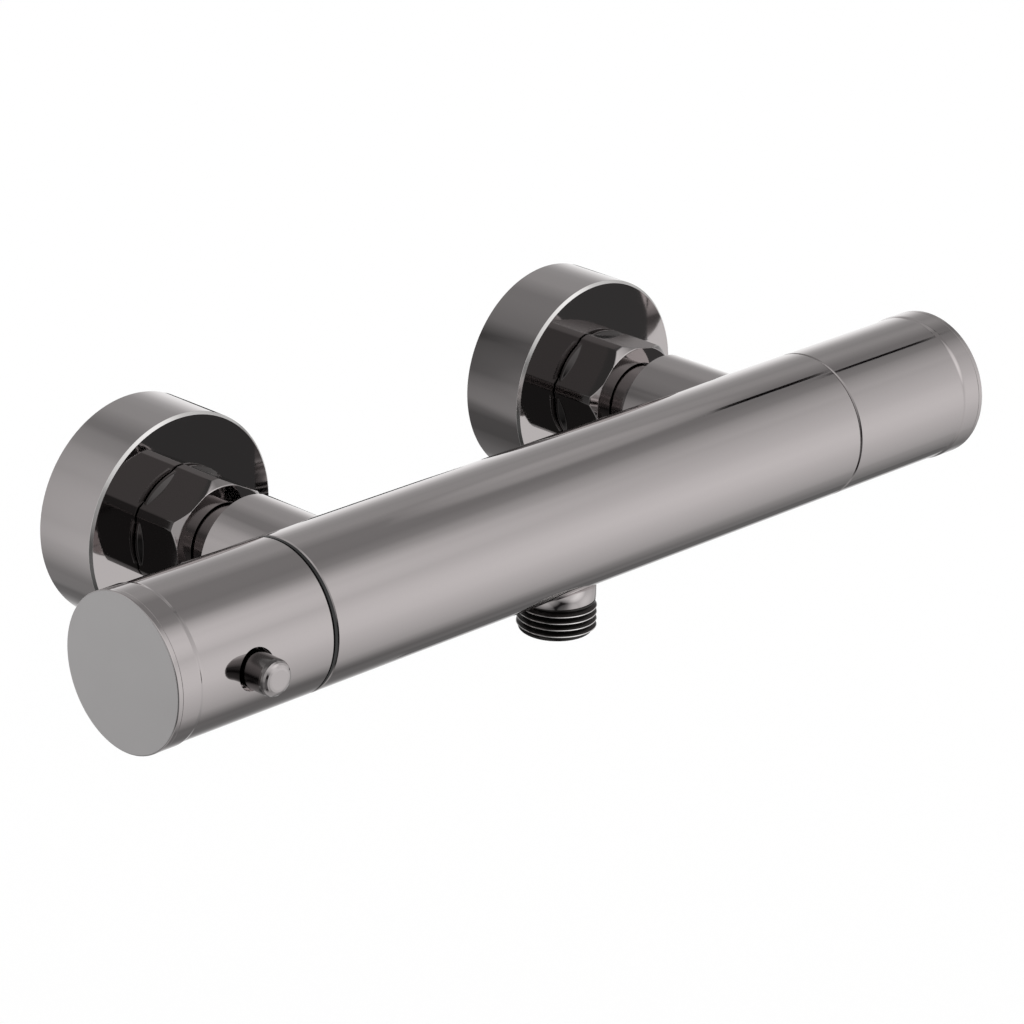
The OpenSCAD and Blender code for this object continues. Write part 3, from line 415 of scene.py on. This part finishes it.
def end_cap(name, body, facing):
    """A cap with a fine rounded edge, and a thin ring behind it that goes into the sleeve."""
    low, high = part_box(name)
    wide = (high.z - low.z) / 2
    face, thick = (low.x if facing < 0 else high.x), high.x - low.x
    plate_share, ring_gap, ring_w, front_edge, back_edge = 0.375, 3.2 * MM, 1.2 * MM, 0.35 * MM, 0.12 * MM
    plate, ring_r = thick * plate_share, wide - ring_gap
    made = turned("soft_" + name, [
        (0, 0, 0), (0, wide, front_edge), (-plate, wide, back_edge), (-plate, ring_r, 0),
        (-thick, ring_r, 0), (-thick, ring_r - ring_w, 0), (-plate, ring_r - ring_w, 0), (-plate, 0, 0),
    ], (face, BAR_Y, 0), (facing, 0, 0), satin_cap, body, (name,))
    made.data.materials.append(dark_mirror)
    squarely = 0.8
    for flat in made.data.polygons:
        flat.material_index = 0 if abs(flat.normal.x) > squarely else 1
    return made


end_cap("temperature_cap", "temperature_control", -1)


def sleeve(name, body):
    """A sleeve with softened rims, on which the band round its end rises in a gentle curve."""
    low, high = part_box(name)
    wide = (high.z - low.z) / 2
    rim, joint = (high.x, low.x) if low.x > 0 else (low.x, high.x)
    rim_edge, end_zone, outer_wall, joint_zone = 0.12 * MM, 0.45 * MM, 0.8 * MM, 0.13 * MM
    made = softened(dark_mirror, body, name, lambda a, b: (
        abs(a.x - b.x) < same_spot and min(abs(a.x - rim), abs(a.x - joint)) < end_zone
        and from_bar(a) > wide - outer_wall), rim_edge, 3, [bar_line])
    mesh = made.data
    aims = [Vector(corner.vector) for corner in mesh.corner_normals]
    band_near, band_far, band_skin, band_lean = 3 * MM, 12 * MM, 0.5 * MM, math.radians(14)
    band_wall, gentle = 0.6 * MM, (0.01, 0.4)
    steps = sorted({round(v.co.x, 6) for v in mesh.vertices
                    if band_near < abs(v.co.x - rim) < band_far and from_bar(v.co) > wide - band_skin})
    for face in mesh.polygons:
        if from_bar(face.center) < wide - band_wall or not gentle[0] < abs(face.normal.x) < gentle[1]:
            continue
        for corner in face.loop_indices:
            spot = mesh.vertices[mesh.loops[corner].vertex_index].co
            lean = band_lean if abs(spot.x - steps[1]) < near else 0
            out = Vector((0, spot.y - BAR_Y, spot.z)).normalized()
            aims[corner] = out * math.cos(lean) - Vector((math.copysign(1, rim), 0, 0)) * math.sin(lean)
    mesh.normals_split_custom_set(aims)
    mesh.materials.append(painted_highlight_rim)
    # Faces on the rim at the joint get the painted highlight colour.
    for face in mesh.polygons:
        from_joint = abs(face.center.x - joint)
        at_joint = from_joint < joint_zone and wide - from_bar(face.center) < joint_zone + from_joint
        if at_joint and slanted[0] < abs(face.normal.x) < slanted[1]:
            face.material_index = 1
    return made


sleeve("temperature_handle", "temperature_control")
dress(moulded, "white_plastic", "temperature_insert")
dress(steel, "steel", "temperature_screw", "safety_button_spring")

# The safety button is a small turned pin that is pressed into the sleeve against a steel spring.
# Its rounded end is polished, and its side gets the darker colour of the tails, painted shade.
dress(shadow_plate, "plated_trim", "safety_button")
# The side faces keep the darker colour of painted shade, the end faces the polished trim.
pin, faces_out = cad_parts["safety_button"].data, -0.4
pin.materials.append(dark_trim)
for face in pin.polygons:
    face.material_index = 1 if face.normal.y < faces_out else 0
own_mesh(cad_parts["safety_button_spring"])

# The flow cartridge sits in the right end of the body, and closes off the mixed water.
# It is brass with two ceramic discs, rubber rings, a steel clip and a plastic stop ring.
ceramic = finish("lapped_ceramic", (0.82, 0.8, 0.75), 0.2, metal=0, wander=0.04, size=200)
dress(bare_brass, "bare_brass", "headwork_body", "flow_spindle")
dress(soft_black, "rubber", "headwork_o_ring", "disc_seal", "spindle_o_rings")
dress(ceramic, "ceramic", "fixed_ceramic_disc", "moving_ceramic_disc")
dress(steel, "steel", "spindle_clip", "flow_screw")
dress(moulded, "white_plastic", "flow_stop_ring", "flow_insert")

# The flow handle is a turned sleeve like that of the temperature handle, without a button.
# Its satin cap is the mirror image of the other one.
sleeve("flow_handle", "flow_control")
end_cap("flow_cap", "flow_control", 1)

# The studio is a white room. Metal sees a large soft box at the front right, a smaller one at the
# left and the white background behind the valve, which fade into grey between them.
# Weaker lights stand above and below.


def aim(azimuth, elevation):
    """Direction, with azimuth counted from the front of the valve towards its right."""
    a, e = math.radians(azimuth), math.radians(elevation)
    return Vector((math.sin(a) * math.cos(e), -math.cos(a) * math.cos(e), math.sin(e)))


room = bpy.data.worlds.new("white_studio")
bpy.context.scene.world = room
room.use_nodes = True
room_nodes, room_links = room.node_tree.nodes, room.node_tree.links
room_nodes.clear()
gaze = room_nodes.new("ShaderNodeTexCoord")


def blend(operation, *values):
    """A sum on numbers and sockets in the world's nodes."""
    node = room_nodes.new("ShaderNodeMath")
    node.operation = operation
    for socket, value in zip(node.inputs, values):
        if isinstance(value, (int, float)):
            socket.default_value = value
        else:
            room_links.new(value, socket)
    return node.outputs[0]


def glow(azimuth, elevation, strength, stops):
    """Light that fades with the angle from a direction: stops are (degrees, share of strength)."""
    dot = room_nodes.new("ShaderNodeVectorMath")
    dot.operation = "DOT_PRODUCT"
    dot.inputs[1].default_value = aim(azimuth, elevation)
    room_links.new(gaze.outputs["Generated"], dot.inputs[0])
    half_turns = blend("DIVIDE", blend("ARCCOSINE", dot.outputs["Value"]), math.pi)
    fade = room_nodes.new("ShaderNodeValToRGB")
    room_links.new(half_turns, fade.inputs["Fac"])
    ramp = fade.color_ramp
    ramp.elements[0].color = (stops[0][1],) * 3 + (1,)
    ramp.elements[1].color = (0, 0, 0, 1)
    ramp.elements[1].position = stops[-1][0] / 180
    for degrees, share in stops[1:-1]:
        ramp.elements.new(degrees / 180).color = (share, share, share, 1)
    return blend("MULTIPLY", fade.outputs["Color"], strength)


front_box = glow(44, -6, 0.98, [
    (0, 1), (12, 0.935), (20, 0.845), (28, 0.765), (36, 0.68), (44, 0.57), (52, 0.345), (60, 0.09),
    (68, 0)])
background = glow(141, -11, 1.08, [
    (0, 1), (12, 0.96), (18, 0.775), (25, 0.535), (33, 0.3), (41, 0.175), (50, 0.155), (62, 0)])
above = glow(150, 75, 0.29, [(0, 0.85), (30, 1), (45, 0.83), (60, 0.12), (80, 0)])
low_left = glow(-95, -24, 0.24, [(0, 1), (20, 0.9), (32, 0.75), (38, 0.5), (43, 0)])
low_front = glow(-12, -24, 0.2, [(0, 1), (14, 0.8), (22, 0.6), (27, 0.4), (31, 0)])
front_top = glow(2, 44, 0.75, [(0, 1), (20, 0.9), (32, 0.5), (42, 0)])
below = glow(0, -90, 0.5, [(0, 1), (22, 0.9), (30, 0.5), (38, 0)])
low_back = glow(-145, -36, 0.1, [(0, 1), (15, 0.9), (28, 0)])
side_box = glow(-82, 26, 0.55, [(0, 1), (25, 0.9), (38, 0.45), (48, 0)])
studio_light = 0.02
for lamp in (front_box, side_box, background, above, low_left, low_front, low_back, front_top, below):
    studio_light = blend("ADD", lamp, studio_light)

rays = room_nodes.new("ShaderNodeLightPath")
metal_view = room_nodes.new("ShaderNodeBackground")
metal_view.inputs["Color"].default_value = (1, 1, 1, 1)
room_links.new(studio_light, metal_view.inputs["Strength"])
white = room_nodes.new("ShaderNodeBackground")
white.inputs["Color"].default_value = (1, 1, 1, 1)
pick = room_nodes.new("ShaderNodeMixShader")
room_links.new(rays.outputs["Is Glossy Ray"], pick.inputs["Fac"])
room_links.new(white.outputs[0], pick.inputs[1])
room_links.new(metal_view.outputs[0], pick.inputs[2])
end = room_nodes.new("ShaderNodeOutputWorld")
room_links.new(pick.outputs[0], end.inputs["Surface"])

# The floor is a plain white paper sheet well below the valve. It takes the soft shadow,
# and the metal doesn't see it.
floor_drop, floor_size = 0.45, 30
floor_mesh = bpy.data.meshes.new("floor")
floor_corners = ((-1, -1), (1, -1), (1, 1), (-1, 1))
floor_mesh.from_pydata([(x * floor_size, y * floor_size, -floor_drop) for x, y in floor_corners],
                       [], [(0, 1, 2, 3)])
floor = bpy.data.objects.new("floor", floor_mesh)
white_sheet = finish("white_sheet", (1, 1, 1), 1.0, metal=0)
white_sheet.node_tree.nodes["Principled BSDF"].inputs["Specular IOR Level"].default_value = 0
floor_mesh.materials.append(white_sheet)
bpy.context.scene.collection.objects.link(floor)
floor.visible_glossy = False

# Only the metal sees these cards. Two glow, behind the valve and above it. Dark strips high at the
# right draw a thin line along the top of the bar, and a long one below darkens its underside.
# Dark flags hang far behind the valve and, black on the side to the wall, right behind the bar.


def card(name, corners, strength, fade=None, one_sided=False):
    """A sheet that only reflections see, in millimetres. A fade is (centre, reach, stops)."""
    mesh = bpy.data.meshes.new(name)
    mesh.from_pydata([Vector(c) * MM for c in corners], [], [list(range(len(corners)))])
    sheet = bpy.data.objects.new(name, mesh)
    bpy.context.scene.collection.objects.link(sheet)
    for ray in ("camera", "diffuse", "transmission", "volume_scatter", "shadow"):
        setattr(sheet, "visible_" + ray, False)
    paint = bpy.data.materials.new(name)
    paint.use_nodes = True
    tree = paint.node_tree
    tree.nodes.clear()
    shine = tree.nodes.new("ShaderNodeEmission")
    shine.inputs["Color"].default_value = (1, 1, 1, 1)
    shine.inputs["Strength"].default_value = strength
    out = tree.nodes.new("ShaderNodeOutputMaterial")
    tree.links.new(shine.outputs[0], out.inputs["Surface"])
    if fade or one_sided:
        clear = tree.nodes.new("ShaderNodeBsdfTransparent")
    if one_sided:
        face = tree.nodes.new("ShaderNodeNewGeometry")
        either = tree.nodes.new("ShaderNodeMixShader")
        tree.links.new(face.outputs["Backfacing"], either.inputs["Fac"])
        tree.links.new(clear.outputs[0], either.inputs[1])
        tree.links.new(shine.outputs[0], either.inputs[2])
        tree.links.new(either.outputs[0], out.inputs["Surface"])
    if fade:
        centre, reach, stops = fade
        both = tree.nodes.new("ShaderNodeAddShader")
        tree.links.new(shine.outputs[0], both.inputs[0])
        tree.links.new(clear.outputs[0], both.inputs[1])
        tree.links.new(both.outputs[0], out.inputs["Surface"])
        place = tree.nodes.new("ShaderNodeTexCoord")
        shift = tree.nodes.new("ShaderNodeMapping")
        shift.vector_type = "TEXTURE"
        shift.inputs["Location"].default_value = Vector(centre) * MM
        shift.inputs["Scale"].default_value = Vector(reach) * MM
        ball = tree.nodes.new("ShaderNodeTexGradient")
        ball.gradient_type = "SPHERICAL"
        ramp_node = tree.nodes.new("ShaderNodeValToRGB")
        ramp = ramp_node.color_ramp
        ramp.elements[0].color = (0, 0, 0, 1)
        ramp.elements[1].position, ramp.elements[1].color = stops[-1][0], (stops[-1][1],) * 3 + (1,)
        for at, share in stops[:-1]:
            ramp.elements.new(at).color = (share, share, share, 1)
        tree.links.new(place.outputs["Object"], shift.inputs["Vector"])
        tree.links.new(shift.outputs["Vector"], ball.inputs["Vector"])
        tree.links.new(ball.outputs["Fac"], ramp_node.inputs["Fac"])
        tree.links.new(ramp_node.outputs["Color"], shine.inputs["Strength"])
    mesh.materials.append(paint)


card("left_card", [(-700, 150, -420), (-70, 150, -420), (-70, 150, 480), (-700, 150, 480)], 0,
     ((-380, 150, 30), (308, 320, 457),
      ((0.06, 0.08), (0.19, 0.15), (0.28, 0.28), (0.375, 0.42), (0.47, 0.53), (0.6, 0.64))))
card("upper_card", [(300, -120, 508), (560, -120, 508), (560, 240, 368), (300, 240, 368)], 0,
     ((395, 70, 434), (115, 130, 130), ((0.15, 0.05), (0.35, 0.14), (0.6, 0.19))))
card("body_strip", [(941, 67, 932), (1028, 67, 932), (1026, 144, 915), (940, 144, 915)], 0)
card("handle_strip", [(1008, -29, 917), (1095, -29, 917), (1094, 34, 911), (1008, 34, 911)], 0)
card("low_strip", [(344, 208, -438), (679, 208, -438), (685, 43, -516), (349, 43, -516)], 0.17)
card("left_flag", [(300, 400, -75), (385, 400, -75), (385, 400, -300), (300, 400, -300)], 0)
card("right_flag", [(500, 400, -90), (538, 400, -90), (538, 400, -300), (500, 400, -300)], 0.08)
card("left_backing", [(-58, -59, -19), (-16, -59, -19), (-16, -59, 10.5), (-58, -59, 10.5)], 0.05,
     one_sided=True)
card("right_backing", [(98, -59, -12), (137, -59, -12), (136.5, -59, -3), (134, -59, 3), (130, -59, 10.5),
                       (98, -59, 10.5)], 0.06, one_sided=True)

# The camera stands at the front left, a little above the bar, with a long lens.
# It leans a little to one side, as in the photograph.
looked_at, stand_off = Vector((0.145, -63.13, -4.143)) * MM, 1127.4 * MM
view_azimuth, view_elevation, tilt = -44.933, 22.054, math.radians(0.806)
back = aim(view_azimuth, view_elevation)
camera = bpy.data.objects.new("camera", bpy.data.cameras.new("camera"))
camera.data.lens, camera.data.sensor_width = 153.03, 36
camera.location = looked_at + back * stand_off
camera.rotation_mode = "QUATERNION"
right_hand = (-back).cross(Vector((0, 0, 1))).normalized()
up = right_hand.cross(-back)
across = right_hand * math.cos(tilt) + up * math.sin(tilt)
upward = up * math.cos(tilt) - right_hand * math.sin(tilt)
camera.rotation_quaternion = Matrix((across, upward, back)).transposed().to_quaternion()
camera.data.clip_start, camera.data.clip_end = 0.05, 100
bpy.context.scene.collection.objects.link(camera)
bpy.context.scene.camera = camera
bpy.context.scene.view_settings.view_transform = "Standard"
